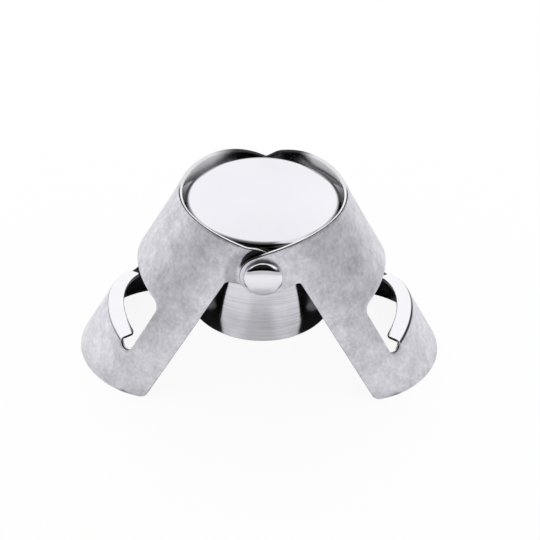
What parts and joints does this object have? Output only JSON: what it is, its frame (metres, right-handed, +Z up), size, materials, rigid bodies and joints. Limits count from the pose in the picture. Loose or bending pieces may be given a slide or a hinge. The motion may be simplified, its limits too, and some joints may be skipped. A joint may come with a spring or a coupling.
{
  "type": "champagne stopper",
  "caption": "Stainless steel sparkling wine stopper: sprung sealing cap with two hinged half-shell wings whose folded tongues hook under the bottle's ring.",
  "frame": {"origin": "on the table under the cap's middle, halfway between the rims of the open wings", "axes": "+Z up along the cap's axis, +X across the wings towards the right wing, +Y from the front rivet to the back one"},
  "size_m": [0.0862, 0.0452, 0.0442],
  "materials": {
    "satin_steel": "satin, tumbled, with bright cut edges",
    "turned_steel": "brushed round its side",
    "polished_steel": "polished",
    "spring_steel": "drawn wire",
    "white_plastic": "moulded, matt",
    "silicone": "soft, milky"
  },
  "bodies": {
    "root": {"lid": "polished_steel", "cap_cup": "turned_steel", "front_rivet": "polished_steel", "back_rivet": "polished_steel", "front_spacer": "white_plastic", "back_spacer": "white_plastic", "spring": "spring_steel"},
    "left_wing": {"left_wing": "satin_steel"},
    "right_wing": {"right_wing": "satin_steel"},
    "seal": {"seal_carrier": "white_plastic", "gasket": "silicone", "gasket_button": "white_plastic"}
  },
  "joints": [
    {"name": "left_wing_hinge", "type": "hinge", "parent": "root", "child": "left_wing", "pos_m": [0, 0, 0.0351], "axis": [0, 1, 0], "range_deg": [-33, 0]},
    {"name": "right_wing_hinge", "type": "hinge", "parent": "root", "child": "right_wing", "pos_m": [0, 0, 0.0351], "axis": [0, 1, 0], "range_deg": [0, 33]},
    {"name": "seal_press", "type": "slide", "parent": "root", "child": "seal", "axis": [0, 0, 1], "range_m": [0, 0.0014], "stiffness_N_per_m": 2500, "springref_m": -0.003, "deforming": ["spring"]}
  ]
}
